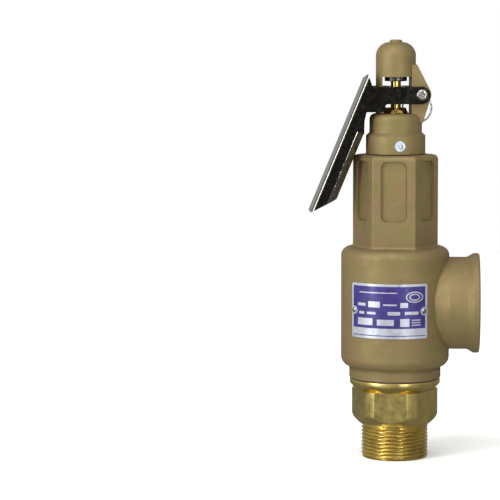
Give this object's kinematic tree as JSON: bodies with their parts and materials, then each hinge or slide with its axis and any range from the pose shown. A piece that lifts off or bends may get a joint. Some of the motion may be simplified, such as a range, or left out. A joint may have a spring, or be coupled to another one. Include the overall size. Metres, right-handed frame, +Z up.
{
  "type": "pressure relief valve",
  "caption": "Angle-pattern pressure relief valve with a male threaded inlet, a female threaded side outlet, an adjustable spring, an open yoke and a lifting lever.",
  "frame": {"origin": "centre of the inlet's end face, on the spindle's axis", "axes": "+Z up the spindle from the inlet to the dome, +X out of the outlet, -Y towards the nameplate"},
  "size_m": [0.1076, 0.0688, 0.2629],
  "materials": {
    "cast_bronze": "bead-blasted casting",
    "machined_brass": "machined",
    "bright_brass": "turned bright",
    "fibre_gasket": "pressed fibre",
    "zinc_steel": "zinc plated",
    "polished_steel": "polished",
    "printed_plate": "printed and lacquered",
    "plain_steel": "ground",
    "spring_steel": "oiled",
    "white_plastic": "machined",
    "dark_steel": "blackened"
  },
  "bodies": {
    "housing": {"body_casting": "cast_bronze", "inlet_nozzle": "machined_brass", "nozzle_gasket": "fibre_gasket", "valve_guide": "machined_brass", "yoke_cap": "cast_bronze", "yoke_set_screw": "zinc_steel", "lever_pin": "polished_steel", "nameplate": "printed_plate", "nameplate_rivets": "plain_steel", "spring": "spring_steel"},
    "stem": {"spindle": "bright_brass", "disc_holder": "machined_brass", "seat_insert": "white_plastic", "disc_retaining_pin": "plain_steel", "lower_spring_plate": "plain_steel", "lifting_disc": "dark_steel", "jam_nut": "dark_steel"},
    "spring_seat": {"upper_spring_plate": "plain_steel"},
    "adjuster": {"adjusting_screw": "bright_brass"},
    "lock_nut": {"lock_nut": "dark_steel"},
    "lever": {"lever": "polished_steel"},
    "pull_ring": {"split_ring": "plain_steel"}
  },
  "joints": [
    {"name": "lever_swing", "type": "hinge", "parent": "housing", "child": "lever", "pos_m": [0.01502, 0.00158, 0.2288], "axis": [-0.1045, 0.9945, 0], "range_deg": [0, 14.5]},
    {"name": "stem_lift", "type": "slide", "parent": "housing", "child": "stem", "axis": [0, 0, 1], "range_m": [0, 0.004], "stiffness_N_per_m": 300, "springref_m": -0.002, "deforming": ["spring"]},
    {"name": "adjuster_turn", "type": "hinge", "parent": "spring_seat", "child": "adjuster", "pos_m": [0, 0, 0.2206], "axis": [0, 0, 1], "range_deg": [-360, 360]},
    {"name": "adjuster_travel", "type": "slide", "parent": "housing", "child": "spring_seat", "axis": [0, 0, 1], "range_m": [-0.00175, 0.00175]},
    {"name": "lock_nut_turn", "type": "hinge", "parent": "housing", "child": "lock_nut", "pos_m": [0, 0, 0.203], "axis": [0, 0, 1], "range_deg": [0, 60]},
    {"name": "ring_swing", "type": "hinge", "parent": "housing", "child": "pull_ring", "pos_m": [0.01342, 0.01675, 0.2288], "axis": [0.9945, 0.1045, 0], "range_deg": [0, 80]}
  ],
  "couplings": [
    {"joint": "stem_lift", "follows": "lever_swing", "m_per_rad": 0.0066384},
    {"joint": "adjuster_turn", "follows": "adjuster_travel", "rad_per_m": 3590.4}
  ]
}
